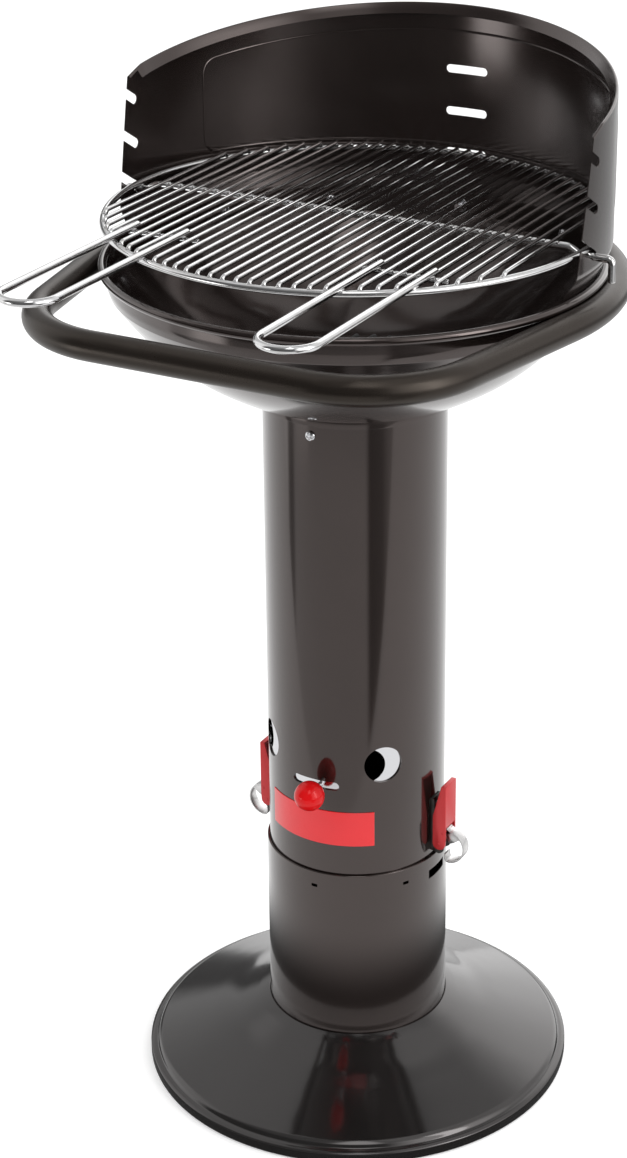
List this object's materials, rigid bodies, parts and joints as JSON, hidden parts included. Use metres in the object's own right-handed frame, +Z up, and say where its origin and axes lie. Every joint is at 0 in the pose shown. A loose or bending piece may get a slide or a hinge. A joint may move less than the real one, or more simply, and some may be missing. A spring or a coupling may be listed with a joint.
{
  "type": "charcoal grill",
  "caption": "Column charcoal grill: round bowl with windshield, front rail and wire cooking grid on a pillar, foot and tube with side latches and an air knob.",
  "frame": {"origin": "on the floor, at the foot's axis", "axes": "+Z up the pillar, -Y to the front (rail and grid handles), +X to the right seen from above with the front toward the viewer"},
  "size_m": [0.4796, 0.5645, 0.9689],
  "materials": {
    "enamel": "gloss",
    "red_enamel": "gloss",
    "satin_black": "satin",
    "black_plastic": "satin",
    "red_plastic": "gloss",
    "bright_steel": "polished",
    "chrome_wire": "polished",
    "dark_wire": "satin"
  },
  "bodies": {
    "base": {"foot_pan": "enamel", "base_tube": "enamel", "base_bottom": "enamel", "foot_screws": "bright_steel"},
    "column": {"pillar_tube": "enamel", "front_plate": "red_enamel", "latch_bracket_right": "bright_steel", "latch_bracket_left": "bright_steel", "latch_rivets": "bright_steel", "lever_pivot_right": "bright_steel", "lever_pivot_left": "bright_steel", "bowl": "enamel", "bowl_screws": "bright_steel", "bowl_nuts": "bright_steel", "windshield": "enamel", "rim_bolts": "bright_steel", "rim_nut": "bright_steel", "rail_tube": "satin_black", "rail_caps": "black_plastic"},
    "air_ring": {"air_band": "bright_steel", "knob_stem": "bright_steel", "ball_knob": "red_plastic"},
    "lever_right": {"latch_lever_right": "red_enamel", "bow_pin_right": "bright_steel"},
    "lever_left": {"latch_lever_left": "red_enamel", "bow_pin_left": "bright_steel"},
    "bow_right": {"latch_bow_right": "bright_steel"},
    "bow_left": {"latch_bow_left": "bright_steel"},
    "cooking_grid": {"grid_ring": "chrome_wire", "grid_rods": "chrome_wire", "grid_crossbar": "chrome_wire", "grid_short_bars": "chrome_wire", "grid_handle_right": "chrome_wire", "grid_handle_left": "chrome_wire"},
    "charcoal_grate": {"charcoal_ring": "dark_wire", "charcoal_rods": "dark_wire"}
  },
  "joints": [
    {"name": "column_lift", "type": "slide", "parent": "base", "child": "column", "axis": [0, 0, 1], "range_m": [0, 0.12]},
    {"name": "air_turn", "type": "hinge", "parent": "column", "child": "air_ring", "pos_m": [0, 0, 0.3215], "axis": [0, 0, 1], "range_deg": [-18, 10]},
    {"name": "lever_right_swing", "type": "hinge", "parent": "column", "child": "lever_right", "pos_m": [0.0905, 0, 0.246], "axis": [0, 1, 0], "range_deg": [0, 76]},
    {"name": "lever_left_swing", "type": "hinge", "parent": "column", "child": "lever_left", "pos_m": [-0.0905, 0, 0.246], "axis": [0, -1, 0], "range_deg": [0, 76]},
    {"name": "bow_right_swing", "type": "hinge", "parent": "lever_right", "child": "bow_right", "pos_m": [0.0946, 0, 0.2576], "axis": [0, 1, 0], "range_deg": [-57, 0]},
    {"name": "bow_left_swing", "type": "hinge", "parent": "lever_left", "child": "bow_left", "pos_m": [-0.0946, 0, 0.2576], "axis": [0, -1, 0], "range_deg": [-57, 0]},
    {"name": "grid_lift", "type": "slide", "parent": "column", "child": "cooking_grid", "axis": [0, -0.8572, 0.515], "range_m": [0, 0.25]},
    {"name": "grate_lift", "type": "slide", "parent": "column", "child": "charcoal_grate", "axis": [0, 0, 1], "range_m": [0, 0.11]}
  ],
  "couplings": [
    {"joint": "bow_right_swing", "follows": "lever_right_swing", "ratio": -0.75},
    {"joint": "bow_left_swing", "follows": "lever_left_swing", "ratio": -0.75}
  ]
}
